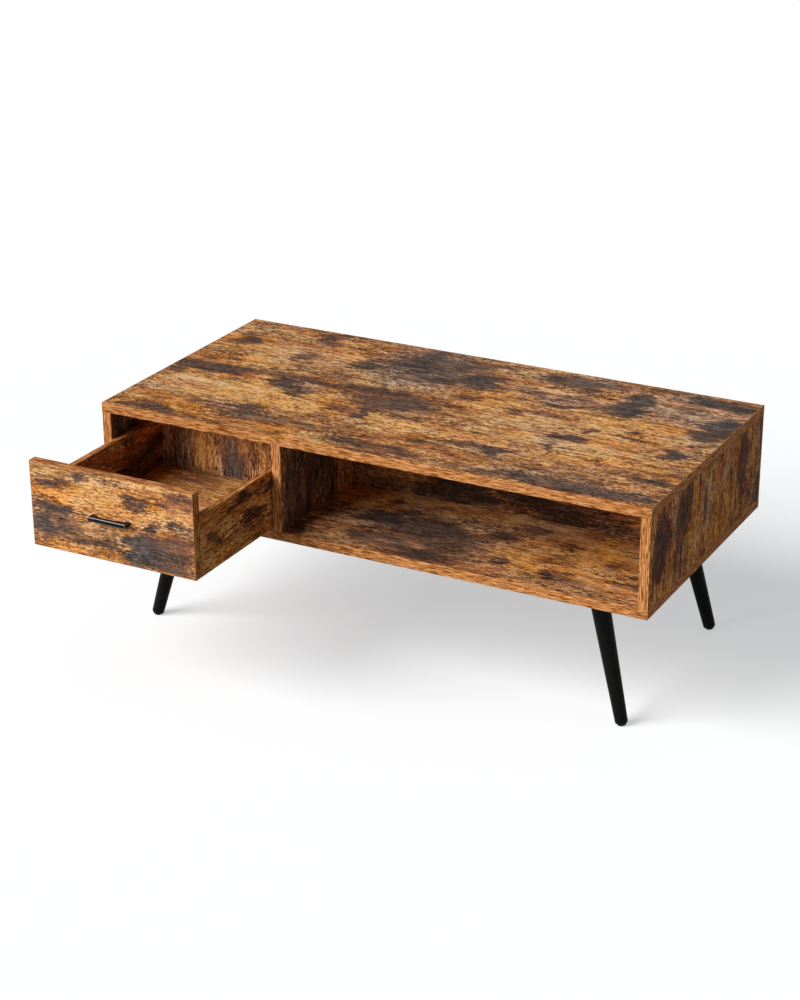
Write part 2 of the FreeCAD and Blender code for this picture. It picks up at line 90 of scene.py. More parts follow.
# Layers of a print: offset, waves per metre along, across and through, detail, roughness and twist
decor_layers = {
    "cloud": ((0.0, 0.0, 0.0), (4.5, 13.0, 13.0), 5.0, 0.6, 0.5),
    "mottle": ((3.1, 1.7, 0.4), (18.0, 50.0, 50.0), 6.0, 0.65, 0.3),
    "streak": ((0.7, 5.3, 2.2), (13.0, 150.0, 150.0), 5.0, 0.65, 0.4),
    "fibre": ((8.2, 0.3, 1.1), (55.0, 520.0, 520.0), 4.0, 0.7, 0.0),
    "speck": ((2.5, 6.1, 4.9), (130.0, 390.0, 390.0), 3.0, 0.75, 0.0),
    "dash": ((6.3, 2.9, 0.8), (34.0, 260.0, 260.0), 2.0, 0.6, 0.6),
    "rust": ((1.9, 4.4, 7.0), (8.0, 26.0, 26.0), 4.0, 0.6, 0.0),
    "patch": ((5.7, 3.6, 1.5), (9.0, 22.0, 22.0), 3.0, 0.55, 0.0),
    "wave": ((4.8, 7.2, 3.3), (24.0, 80.0, 80.0), 3.0, 0.55, 1.2),
    "veil": ((7.4, 2.2, 5.8), (4.0, 9.0, 9.0), 4.0, 0.6, 0.4),
    "warmth": ((9.1, 5.5, 0.9), (30.0, 90.0, 90.0), 4.0, 0.65, 0.0),
}
band_layers = {
    "tone": ((0.0, 0.0, 0.0), (12.0, 70.0, 70.0), 4.0, 0.6, 0.0),
    "line": ((4.0, 1.0, 2.0), (18.0, 500.0, 500.0), 2.0, 0.65, 0.2),
    "dash": ((1.0, 3.0, 6.0), (48.0, 640.0, 640.0), 2.0, 0.7, 0.0),
}
band_swings = {"tone": 0.15, "line": 3.2, "dash": 6.8}
noise_middle = 0.5
noise_span = (0.3, 0.7)

# Stains and marks of painted light and shade on the boards: rim of a spot, limits with their eases, torn
# rims, and the smoke in the darkest
spot_rim = (1.35, 0.45)
spot_reach_through = 1.0
cloud_drift = 4.0
darkest_stain = 1.2
darkest_stain_ease = 0.4
palest_stain = -0.65
palest_stain_ease = 0.3
mottle_tear = 2.1
streak_tear = 1.7
tear_span = (0.3, 1.2)
tear_shares = (1.1, 0.75)
smoke_span = (0.7, 1.5)

# Fine figure of the boards: busy patches, wavy flames, fibres with specks, and short dashes
busy_span = (0.4, 0.62)
busy_least = 0.75
busy_more = 0.7
flame_width = 0.05
fibre_depth = 1.9
speck_depth = 1.9
fine_span = (0.15, 1.0)
fine_shares = (1.0, 0.5)
dash_span = (0.58, 0.7)

# Tone of the boards: what stains and painted light and shade, dashes and flames add to it, and how it runs
# along the wood and the smoke
stain_tone = -0.45
dash_tone = -0.18
flame_tone = -0.12
wood_gain = 0.857
haze_gain = 1.3
haze_start = 0.3
rust_span = (0.42, 0.62)

# Greying of the boards, below zero where they are warmer, and its limits with their eases
veil_ash = 0.9
warmth_ash = 0.75
stain_ash = 0.17
stain_ash_span = (0.2, 1.2)
most_ash = 0.85
most_ash_ease = 0.3
least_ash = -0.45
least_ash_ease = 0.2

# Surface of the boards and bands, with the grain's depth in metres
board_roughness = (0.46, 0.60)
band_roughness = (0.42, 0.56)
decor_specular = 0.015
pore_span = (0.58, 0.74)
pore_height = -0.8
board_grain_depth = 0.00012
band_grain_depth = 0.0001
seed_shares = (1.0, 0.7, 0.3)
ripple_noise = ((14.0, 40.0, 40.0), 6.0, 0.65, 0.0)
ripple_reach = (0.13, 0.06, 0.0)
chip_cells = (260.0, 420.0, 420.0)
facing_limit = 0.7

# Tooth of the sprayed, plated and moulded finishes: fine detail, broad clouds, and what the clouds change
tooth_detail = 3.0
tooth_clouds = ((14.0, 14.0, 14.0), 4.0, 0.6, 0.0)
tooth_shades = (0.75, 1.25)
tooth_roughness_change = (-0.06, 0.06)

# Legs with their corners' signs, handle and crosses as length, width and depth, in metres
leg_corners = {"front_left": (-1, -1), "front_right": (1, -1), "rear_left": (-1, 1), "rear_right": (1, 1)}
leg_foot_run = Vector((0.058, 0.019, 0.0))
leg_cup_drop = 0.012
leg_foot_lift = 0.0032
leg_head_radius = 0.016
leg_foot_radius = 0.0105
leg_foot_round = 0.003
leg_sides = 48
leg_rings = 36
leg_ring_crowding = 2.0
handle_bar = 0.008
handle_edge_round = 0.0016
handle_edge_steps = 4
small_cross = (0.0044, 0.0010, 0.0014)
large_cross = (0.0058, 0.0013, 0.0022)

# Meshes and tables: joining distance, largest bend that is shaded smooth, and a millimetre in metres
merge_distance = 0.000001
smooth_angle = math.radians(35)
mm = 0.001


def linear(red, green, blue):
    """A linear colour with full alpha, from 8-bit sRGB values."""
    shares = [value / 255 for value in (red, green, blue)]
    curve = [s / 12.92 if s <= 0.04045 else ((s + 0.055) / 1.055) ** 2.4 for s in shares]
    return (*curve, 1.0)


# Node helpers
def put(tree, kind, inputs=(), **settings):
    """Adds a node, sets its properties, and sets or links its inputs by name or number."""
    node = tree.nodes.new(kind)
    for name, value in settings.items():
        setattr(node, name, value)
    for key, value in dict(inputs).items():
        if isinstance(value, bpy.types.NodeSocket):
            tree.links.new(value, node.inputs[key])
        else:
            node.inputs[key].default_value = value
    return node


def link_up(tree, inputs, sockets):
    """Links sockets to the inputs that have their names."""
    for name, socket in sockets.items():
        tree.links.new(socket, inputs[name])


def new_tree(kind, name, inputs, outputs):
    """A new node tree with named sockets, what it is given, and where its result goes."""
    tree = bpy.data.node_groups.new(name, kind)
    for side, sockets in (("INPUT", inputs), ("OUTPUT", outputs)):
        for label, value_kind in sockets:
            tree.interface.new_socket(label, in_out=side, socket_type="NodeSocket" + value_kind)
    given = tree.nodes.new("NodeGroupInput").outputs
    result = tree.nodes.new("NodeGroupOutput").inputs
    return tree, given, result


def use_group(tree, group, inputs):
    return put(tree, "ShaderNodeGroup", inputs, node_tree=group).outputs


def sum_up(tree, operation, *values, clamp=False):
    node = put(tree, "ShaderNodeMath", dict(enumerate(values)), operation=operation, use_clamp=clamp)
    return node.outputs[0]


def vector_sum(tree, operation, *values, output=0):
    node = put(tree, "ShaderNodeVectorMath", dict(enumerate(values)), operation=operation)
    return node.outputs[output]


def step_between(tree, value, low, high, start=0.0, end=1.0):
    """Goes smoothly from start to end as a value goes from low to high."""
    inputs = {"Value": value, "From Min": low, "From Max": high, "To Min": start, "To Max": end}
    return put(tree, "ShaderNodeMapRange", inputs, interpolation_type="SMOOTHSTEP").outputs[0]


def clouds(tree, vector, scales, detail, rough, twist, output=0):
    """Fractal noise with its own scale on each axis, about 0 to 1."""
    inputs = {"Vector": vector_sum(tree, "MULTIPLY", vector, scales), "Scale": 1.0, "Detail": detail}
    inputs.update({"Roughness": rough, "Distortion": twist})
    return put(tree, "ShaderNodeTexNoise", inputs).outputs[output]


def noise_layers(tree, grain, layers):
    """The clouds of a table of layers, by their names."""
    noise = {}
    for name, (offset, *settings) in layers.items():
        noise[name] = clouds(tree, vector_sum(tree, "ADD", grain, offset), *settings)
    return noise


def swing(tree, noise):
    """Noise about zero."""
    return sum_up(tree, "SUBTRACT", noise, noise_middle)


def add_swing(tree, value, noise, amount):
    return sum_up(tree, "MULTIPLY_ADD", swing(tree, noise), amount, value)


def blend(tree, factor, first, second, mode="MIX", held=True):
    """Mixes two colours; a factor that isn't held may also lead past the first one."""
    # Inputs 6 and 7 and output 2 of a Mix node are its colours
    inputs = {0: factor, 6: first, 7: second}
    settings = {"data_type": "RGBA", "blend_type": mode, "clamp_factor": held}
    return put(tree, "ShaderNodeMix", inputs, **settings).outputs[2]


def colours_along(tree, factor, stops):
    """A colour ramp through (place, sRGB colour) stops."""
    node = put(tree, "ShaderNodeValToRGB", {0: factor})
    elements = node.color_ramp.elements
    middle = 0.5
    while len(elements) < len(stops):
        elements.new(middle)
    for element, (place, colour) in zip(elements, stops):
        element.position = place
        element.color = linear(*colour)
    return node.outputs[0]


def evenly(colours):
    """Colours set at even places from 0 to 1."""
    return [(index / (len(colours) - 1), colour) for index, colour in enumerate(colours)]


def colour_of(tree, shares):
    return put(tree, "ShaderNodeCombineColor", dict(enumerate(shares))).outputs[0]


def grey_of(tree, value):
    return colour_of(tree, (value, value, value))


# Shared effects
decor_outputs = [("Color", "Color"), ("Roughness", "Float"), ("Height", "Float")]


def make_stain_and_painted_light_spot():
    """One spot, for a stain and for painted light and shade alike: dark with a positive depth and pale with
    a negative one, added to those before it.
    """
    inputs = [("Grain", "Vector"), ("Place", "Vector"), ("Reach", "Vector")]
    inputs += [("Depth", "Float"), ("Before", "Float")]
    group, given, result = new_tree("ShaderNodeTree", "stain_and_painted_light_spot", inputs, [("Stain And Painted Light", "Float")])
    away = vector_sum(group, "SUBTRACT", given["Grain"], given["Place"])
    shares = vector_sum(group, "DIVIDE", away, given["Reach"])
    distance = vector_sum(group, "LENGTH", shares, output="Value")
    mask = step_between(group, distance, *spot_rim)
    total = sum_up(group, "MULTIPLY_ADD", mask, given["Depth"], given["Before"])
    link_up(group, result, {"Stain And Painted Light": total})
    return group


def make_board_decor():
    """Rustic brown decor: honey and russet clouds, smoky stains with the marks of painted light and shade,
    wavy grain lines and short pores.
    """
    amounts = ("Stain And Painted Light", "Tone", "Wildness", "Bite", "Smoke", "Ash", "Russet")
    inputs = [("Grain", "Vector")] + [(name, "Float") for name in amounts]
    group, given, result = new_tree("ShaderNodeTree", "board_decor", inputs, decor_outputs)
    noise = noise_layers(group, given["Grain"], decor_layers)

    drift = sum_up(group, "MULTIPLY_ADD", given["Wildness"], cloud_drift, 1.0)
    stain_and_light = add_swing(group, given["Stain And Painted Light"], noise["cloud"], drift)
    stain_and_light = sum_up(group, "SMOOTH_MIN", stain_and_light, darkest_stain, darkest_stain_ease)
    stain_and_light = sum_up(group, "SMOOTH_MAX", stain_and_light, palest_stain, palest_stain_ease)
    torn = add_swing(group, 0.0, noise["mottle"], mottle_tear)
    torn = add_swing(group, torn, noise["streak"], streak_tear)
    torn = sum_up(group, "MULTIPLY", torn, step_between(group, stain_and_light, *tear_span, *tear_shares))
    ragged = sum_up(group, "MULTIPLY_ADD", torn, given["Bite"], stain_and_light)
    smoke = sum_up(group, "MULTIPLY", step_between(group, ragged, *smoke_span), given["Smoke"])

    busy = step_between(group, noise["patch"], *busy_span)
    bend = sum_up(group, "ABSOLUTE", swing(group, noise["wave"]))
    flame = sum_up(group, "MULTIPLY", step_between(group, bend, flame_width, 0.0), busy)
    fine = add_swing(group, 0.0, noise["fibre"], fibre_depth)
    fine = add_swing(group, fine, noise["speck"], speck_depth)
    fine = sum_up(group, "MULTIPLY", fine, sum_up(group, "MULTIPLY_ADD", busy, busy_more, busy_least))
    fine = sum_up(group, "MULTIPLY", fine, step_between(group, stain_and_light, *fine_span, *fine_shares))

    tone = sum_up(group, "MULTIPLY_ADD", ragged, stain_tone, given["Tone"])
    tone = sum_up(group, "MULTIPLY_ADD", fine, given["Bite"], tone)
    tone = sum_up(group, "MULTIPLY_ADD", step_between(group, noise["dash"], *dash_span), dash_tone, tone)
    tone = sum_up(group, "MULTIPLY_ADD", flame, flame_tone, tone)
    wood = colours_along(group, sum_up(group, "MULTIPLY", tone, wood_gain), evenly(decor_tones))
    reddened = sum_up(group, "ADD", step_between(group, noise["rust"], *rust_span), given["Russet"])
    rusty = blend(group, reddened, wood, linear(*russet_tint), "MULTIPLY", held=False)
    haze_place = sum_up(group, "MULTIPLY_ADD", tone, haze_gain, haze_start)
    smoky = blend(group, smoke, rusty, colours_along(group, haze_place, evenly(smoke_tones)))

    ash = add_swing(group, given["Ash"], noise["veil"], veil_ash)
    ash = add_swing(group, ash, noise["warmth"], warmth_ash)
    ash = sum_up(group, "MULTIPLY_ADD", step_between(group, stain_and_light, *stain_ash_span), stain_ash, ash)
    ash = sum_up(group, "SMOOTH_MIN", ash, most_ash, most_ash_ease)
    ash = sum_up(group, "SMOOTH_MAX", ash, least_ash, least_ash_ease)
    grey = put(group, "ShaderNodeRGBToBW", {0: smoky}).outputs[0]
    faded = blend(group, ash, smoky, grey_of(group, grey), held=False)

    roughness = step_between(group, noise["mottle"], *noise_span, *board_roughness)
    pores = step_between(group, noise["fibre"], *pore_span)
    height = sum_up(group, "MULTIPLY_ADD", pores, pore_height, noise["streak"])
    link_up(group, result, {"Color": faded, "Roughness": roughness, "Height": height})
    return group


def make_band_decor():
    """Edge banding: a warm light brown with fine darker lines along the strip."""
    inputs = [("Grain", "Vector"), ("Tone", "Float")]
    group, given, result = new_tree("ShaderNodeTree", "band_decor", inputs, decor_outputs)
    noise = noise_layers(group, given["Grain"], band_layers)
    tone = given["Tone"]
    for name, amount in band_swings.items():
        tone = add_swing(group, tone, noise[name], amount)
    colour = colours_along(group, tone, band_stops)
    roughness = step_between(group, noise["tone"], *noise_span, *band_roughness)
    link_up(group, result, {"Color": colour, "Roughness": roughness, "Height": noise["line"]})
    return group


def make_chip_core():
    """Pressed chips, bare where a board is cut or bored."""
    inputs = [("Grain", "Vector")]
    group, given, result = new_tree("ShaderNodeTree", "chip_core", inputs, [("Color", "Color")])
    spread = vector_sum(group, "MULTIPLY", given["Grain"], chip_cells)
    chips = put(group, "ShaderNodeTexVoronoi", {"Vector": spread, "Scale": 1.0}).outputs["Color"]
    tint = put(group, "ShaderNodeSeparateColor", {0: chips}).outputs[0]
    link_up(group, result, {"Color": colours_along(group, tint, chip_stops)})
    return group


def make_fine_tooth():
    """Even fine tooth of a sprayed or moulded finish: a shade, a roughness and a height."""
    inputs = [("Place", "Vector"), ("Grain Size", "Float"), ("Roughness", "Float")]
    outputs = [("Shade", "Float"), ("Roughness", "Float"), ("Height", "Float")]
    group, given, result = new_tree("ShaderNodeTree", "fine_tooth", inputs, outputs)
    scale = sum_up(group, "DIVIDE", 1.0, given["Grain Size"])
    grit = {"Vector": given["Place"], "Scale": scale, "Detail": tooth_detail}
    height = put(group, "ShaderNodeTexNoise", grit).outputs[0]
    broad = clouds(group, given["Place"], *tooth_clouds)
    shade = step_between(group, broad, *noise_span, *tooth_shades)
    change = step_between(group, broad, *noise_span, *tooth_roughness_change)
    roughness = sum_up(group, "ADD", given["Roughness"], change)
    link_up(group, result, {"Shade": shade, "Roughness": roughness, "Height": height})
    return group


stain_and_painted_light_spot = make_stain_and_painted_light_spot()
board_decor = make_board_decor()
band_decor = make_band_decor()
chip_core = make_chip_core()
fine_tooth = make_fine_tooth()


# Materials
def new_material(name):
    """An empty material with its tree, its Principled shader and its texture coordinates."""
    material = bpy.data.materials.new(name)
    material.use_nodes = True
    tree = material.node_tree
    shader = tree.nodes["Principled BSDF"]
    place = tree.nodes.new("ShaderNodeTexCoord").outputs
    return material, tree, shader, place


def raise_surface(tree, shader, height, depth):
    """Bump of a real depth, in metres."""
    bump = put(tree, "ShaderNodeBump", {"Height": height, "Strength": 1.0, "Distance": depth})
    link_up(tree, shader.inputs, {"Normal": bump.outputs[0]})


def print_surface(tree, shader, colour, decor, grain_depth):
    """A printed surface from its colour and from its decor's roughness and height."""
    link_up(tree, shader.inputs, {"Base Color": colour, "Roughness": decor["Roughness"]})
    shader.inputs["Specular IOR Level"].default_value = decor_specular
    raise_surface(tree, shader, decor["Height"], grain_depth)


def grain_place(tree, place, node, axes):
    """Coordinates along, across and through the grain, measured from a node's middle."""
    low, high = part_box(node)
    inputs = {"Vector": place["Object"], "Location": -(low + high) / 2}
    centred = put(tree, "ShaderNodeMapping", inputs).outputs[0]
    parts = put(tree, "ShaderNodeSeparateXYZ", {0: centred}).outputs
    order = {index: parts[axis] for index, axis in enumerate(axes)}
    return put(tree, "ShaderNodeCombineXYZ", order).outputs[0]


def on_axis(tree, place, axis):
    """One where the surface faces along an axis, and zero where it doesn't."""
    parts = put(tree, "ShaderNodeSeparateXYZ", {0: place["Normal"]}).outputs
    return sum_up(tree, "GREATER_THAN", sum_up(tree, "ABSOLUTE", parts[axis]), facing_limit)


def spots(tree, place, marks, start):
    """Adds up spots, given as in the tables below."""
    total = start
    for along, across, reach_along, reach_across, depth in marks:
        spot = {"Grain": place, "Depth": depth, "Before": total}
        spot["Place"] = (along * mm, across * mm, 0.0)
        spot["Reach"] = (reach_along * mm, reach_across * mm, spot_reach_through)
        total = use_group(tree, stain_and_painted_light_spot, spot)["Stain And Painted Light"]
    return total


def board_material(node, axes, seed, tone, bite, wildness, smoke, ash, russet):
    """Decor on a board's two faces and bare chips on its other sides, with the grain along axes[0]."""
    material, tree, shader, place = new_material(node + "_decor")
    grain = grain_place(tree, place, node, axes)
    moved = vector_sum(tree, "ADD", grain, (seed, 0.0, 0.0))
    ripple = clouds(tree, moved, *ripple_noise, output="Color")
    ripple = vector_sum(tree, "SUBTRACT", ripple, (noise_middle, noise_middle, noise_middle))
    bent = vector_sum(tree, "ADD", grain, vector_sum(tree, "MULTIPLY", ripple, ripple_reach))
    inputs = {"Tone": tone, "Bite": bite, "Wildness": wildness, "Smoke": smoke, "Russet": russet}
    inputs["Grain"] = vector_sum(tree, "ADD", grain, [seed * share for share in seed_shares])
    inputs["Stain And Painted Light"] = spots(tree, bent, board_stains_and_painted_light.get(node, ()), 0.0)
    inputs["Ash"] = spots(tree, bent, board_ashes.get(node, ()), ash)
    decor = use_group(tree, board_decor, inputs)
    core = use_group(tree, chip_core, {"Grain": grain})
    colour = blend(tree, on_axis(tree, place, axes[2]), core["Color"], decor["Color"])
    print_surface(tree, shader, colour, decor, board_grain_depth)
    return material


# Grain directions, as axis numbers along, across and through the grain
along_x_flat = (0, 1, 2)
along_y_flat = (1, 0, 2)
along_x_upright = (0, 2, 1)
along_y_upright = (1, 2, 0)
along_z_facing_x = (2, 1, 0)
along_z_facing_y = (2, 0, 1)

# Stains, with some marks of painted light and shade among them, as millimetres along and across the grain
# from a board's middle, reach along and across, and depth
board_stains_and_painted_light = {
    "top_panel": [
        (-450, 142, 30, 38, 1.2), (-312, 217, 24, 40, 1.0), (-304, 108, 20, 16, 1.0),
        (-183, 117, 32, 24, 1.2), (33, 125, 38, 34, 1.9), (-58, 158, 120, 80, 1.0),
        (-108, 192, 30, 60, 0.6), (167, 204, 75, 30, 1.0), (223, 180, 9, 10, 2.2),
        (308, 158, 28, 58, 1.7), (196, 92, 40, 14, 1.6), (283, 104, 44, 22, 1.1), (440, 218, 80, 26, 1.3),
        (471, 92, 36, 62, 1.5), (42, 54, 26, 14, 1.3), (192, 42, 62, 12, 0.9), (142, 25, 18, 8, 1.2),
        (-437, -10, 80, 22, 1.7), (-390, 4, 30, 10, 1.3), (-230, 8, 130, 16, 1.0),
        (-270, -25, 30, 22, 1.4), (-235, -58, 26, 20, 1.5), (-58, -17, 115, 55, 1.0),
        (-104, 8, 16, 9, 1.4), (-87, -92, 14, 32, 1.7), (-129, -92, 30, 10, 1.0), (283, 0, 14, 13, 1.9),
        (271, -38, 38, 14, 1.4), (258, -92, 12, 30, 1.6), (350, 0, 40, 5, 2.0), (342, 27, 20, 5, 1.3),
        (450, -33, 24, 22, 1.7), (-267, -158, 40, 14, 1.5), (-417, -100, 14, 8, 1.2),
        (-421, -229, 50, 16, 1.4), (192, -150, 18, 18, 1.5), (133, -142, 60, 10, 1.1),
        (67, -167, 44, 10, 0.9), (458, -150, 42, 8, 1.1), (475, -112, 20, 8, 0.9),
        (358, -225, 150, 26, 1.1), (8, -221, 90, 26, 0.7), (-50, -217, 42, 10, 0.8),
        (-183, -190, 150, 20, 0.7), (-325, -95, 190, 45, -0.6), (254, -30, 190, 95, -0.4),
        (12, -117, 70, 28, -0.6), (167, 154, 32, 14, -0.7), (-380, 90, 55, 65, -0.3),
        (-460, 180, 45, 22, -0.3), (-470, -40, 50, 18, 0.55), (-375, -58, 45, 18, 0.5),
        (-285, -68, 45, 12, 0.35), (-205, -30, 40, 18, 0.6), (-110, 67, 32, 20, 0.45),
        (-155, 48, 45, 10, 0.25), (-87, -155, 30, 18, 0.45), (215, 128, 34, 24, 0.65),
        (152, 122, 25, 25, 0.6), (182, 32, 28, 16, 0.35), (125, -22, 34, 22, 0.22),
        (412, 165, 26, 45, 0.5), (337, 95, 20, 14, 0.3), (240, 205, 28, 35, 0.28),
        (110, 175, 25, 35, 0.25), (-52, 240, 35, 14, 0.5), (-440, 185, 22, 18, 0.35),
        (-385, 135, 20, 14, 0.55), (205, -120, 25, 35, 0.25), (155, -165, 40, 12, 0.3),
        (345, -168, 70, 28, 0.25), (85, -185, 38, 14, 0.35), (180, -235, 60, 22, 0.45),
        (-370, -240, 75, 14, 0.5), (-255, -240, 30, 14, 0.4), (-330, -172, 28, 18, 0.55),
        (-185, -160, 60, 14, 0.15), (-390, -105, 50, 18, -0.7), (-265, -115, 85, 22, -0.6),
        (-395, 75, 35, 38, -0.2), (-285, -28, 22, 20, -0.4), (425, 68, 38, 28, -0.28),
        (390, 25, 45, 14, -0.28), (320, -30, 45, 25, -0.3), (270, -125, 40, 18, -0.22),
        (-25, 28, 34, 18, -0.5), (70, 62, 42, 30, -0.22), (110, -92, 42, 25, -0.15),
        (30, -148, 50, 14, -0.28), (0, 145, 32, 28, -0.2), (-265, 178, 38, 18, -0.25),
        (-180, 222, 42, 18, -0.2), (330, 155, 15, 38, -0.4), (-215, -210, 50, 18, -0.2),
        (440, 230, 55, 20, -0.2), (-190, 120, 32, 22, -0.2), (90, 212, 22, 18, -0.35),
        (180, 62, 40, 10, -0.35), (-350, -35, 30, 40, 0.4), (200, -150, 25, 30, 0.35),
        (190, -225, 45, 18, 0.4), (395, -145, 30, 30, 0.4), (-420, -243, 90, 10, 0.6),
        (-70, -170, 30, 20, 0.35), (410, -25, 18, 30, 0.35), (383, -213, 40, 16, -0.45),
        (63, 53, 34, 18, -0.35), (-360, -128, 45, 22, -0.3), (165, 126, 40, 26, 0.3),
        (233, 213, 30, 20, 0.3), (397, 115, 30, 24, 0.3), (27, 222, 26, 16, 0.5),
        (-480, -45, 22, 30, 0.3), (488, 192, 18, 30, 0.3), (110, 133, 30, 24, 0.2),
        (227, 165, 28, 22, 0.25),
    ],
    "bottom_panel": [
        (-32, -48, 18, 12, 1.2), (-32, -118, 35, 28, 1.5), (0, -83, 18, 10, 1.05),
        (-68, -83, 12, 6, 0.95), (70, -158, 120, 95, 0.8), (105, -223, 45, 30, 0.65),
        (190, -98, 30, 16, 1.05), (220, -53, 26, 16, 0.8), (295, -93, 26, 14, 0.95),
        (295, -143, 30, 20, 0.7), (222, -186, 14, 16, 1.05), (308, -203, 14, 20, 1.5),
        (337, -183, 14, 8, 0.95), (390, -128, 20, 12, 1.05), (430, -148, 26, 12, 0.95),
        (430, -178, 40, 5, 1.35), (-42, -173, 16, 4, 1.1), (-35, -208, 25, 25, 0.55),
        # The first two marks on the next line, beside the divider, are partly stain and partly painted
        # shadow of the divider
        (-138, -223, 20, 40, 0.8), (-130, -128, 25, 60, 0.2), (330, -138, 150, 75, -0.3),
        (-90, -218, 40, 25, -0.25), (75, -200, 20, 14, -0.45), (145, -96, 26, 11, -0.6),
        # The first mark on the next line and the last one on the line after it are paler spots beside the
        # divider: painted light that lifts its shade
        (-85, -60, 60, 55, -0.4), (90, -26, 220, 34, -0.35), (380, -70, 60, 34, -0.5),
        (327, -205, 40, 16, 0.4), (-63, -198, 40, 25, 0.35), (-95, -46, 30, 20, -0.4),
        (443, -183, 30, 16, 0.45),
    ],
    "left_side_panel": [
        (50, -200, 50, 65, 0.9), (-30, -60, 60, 40, 0.6), (20, 140, 40, 50, 0.7),
    ],
    "right_side_panel": [
        (23, -200, 60, 38, 1.4), (28, -115, 50, 38, 1.2), (53, -87, 25, 10, 1.55), (58, -42, 18, 6, 1.1),
        (13, -20, 28, 9, 1.3), (-37, -130, 30, 20, 0.85), (33, 155, 60, 22, 1.45),
        (-57, 180, 22, 10, 1.2), (-22, 122, 26, 8, 0.75), (-57, 230, 35, 20, 1.0), (48, 245, 50, 10, 1.2),
        (-12, -75, 18, 5, 1.2), (-7, -235, 40, 8, 0.9), (18, 105, 12, 8, 0.9), (38, -150, 34, 10, -0.5),
        (38, -60, 50, 12, -0.45), (-42, -50, 40, 25, -0.3), (-27, 100, 30, 14, -0.3),
        (-22, -85, 25, 8, -0.4),
    ],
    "divider_panel": [
        # Darker over the divider's front part, with a paler band behind it
        (0, -40, 140, 34, -0.45), (0, -170, 140, 110, 0.6),
    ],
    "shelf_back_panel": [
        (-105, -53, 70, 40, 1.0), (60, -55, 90, 30, 0.3), (-240, -60, 45, 40, -0.4),
        (150, -64, 40, 25, -0.25),
    ],
    "drawer_front": [
        (-71, 59, 12, 9, 1.2), (-56, 58, 22, 8, 0.75), (-116, 42, 30, 8, 0.9), (44, 34, 22, 14, 1.25),
        (84, 43, 40, 5, 0.65), (131, 12, 25, 12, 0.9), (144, 59, 25, 18, 0.65), (-118, 2, 36, 13, 1.25),
        (-43, 10, 18, 4, 0.75), (81, 3, 17, 6, 1.05), (-73, -33, 95, 28, 0.5), (-143, -33, 22, 26, 0.8),
        (51, -41, 33, 36, 1.4), (116, -41, 58, 38, 0.9), (-31, -53, 50, 6, 0.65),
        (-24, 30, 80, 28, -0.35), (-118, 21, 45, 8, -0.35), (16, -31, 12, 18, -0.45),
        (-81, -66, 38, 9, -0.5), (109, -1, 12, 16, -0.35), (64, 16, 35, 10, -0.35),
        (114, 43, 32, 16, 0.65), (-27, -27, 30, 15, -0.75), (-59, 71, 24, 9, 0.55), (79, 3, 22, 12, 0.5),
        (-114, -50, 25, 12, 0.25), (-79, 10, 25, 10, -0.3),
    ],
    "drawer_left_side": [
        # A dark patch over the rear half: painted shadow of the top panel, with some stain in it
        (115, 10, 85, 70, 0.5),
    ],
    "drawer_right_side": [
        (-37, 4, 22, 8, 1.6), (-10, -6, 32, 10, 1.4), (-97, 29, 20, 6, 1.2), (-65, 39, 20, 10, 1.2),
        (-147, 4, 20, 10, 0.9), (32, 26, 20, 8, 1.1), (-5, 19, 35, 10, -0.45), (-80, -8, 40, 14, -0.2),
    ],
    "drawer_back": [
        (-12, -116, 60, 35, 0.1), (8, -64, 45, 24, -0.3), (-17, -9, 40, 28, 0.75), (-15, 31, 35, 22, 0.6),
        (22, -19, 20, 50, 0.3), (6, -34, 40, 14, -0.6), (-16, 18, 35, 12, 0.4), (-45, -54, 25, 25, 0.5),
    ],
    "drawer_bottom": [
        (-50, 134, 40, 20, 0.6), (20, 92, 40, 22, -0.2), (-60, -40, 70, 20, 0.5),
        (-70, 172, 50, 14, 0.45),
    ],
}

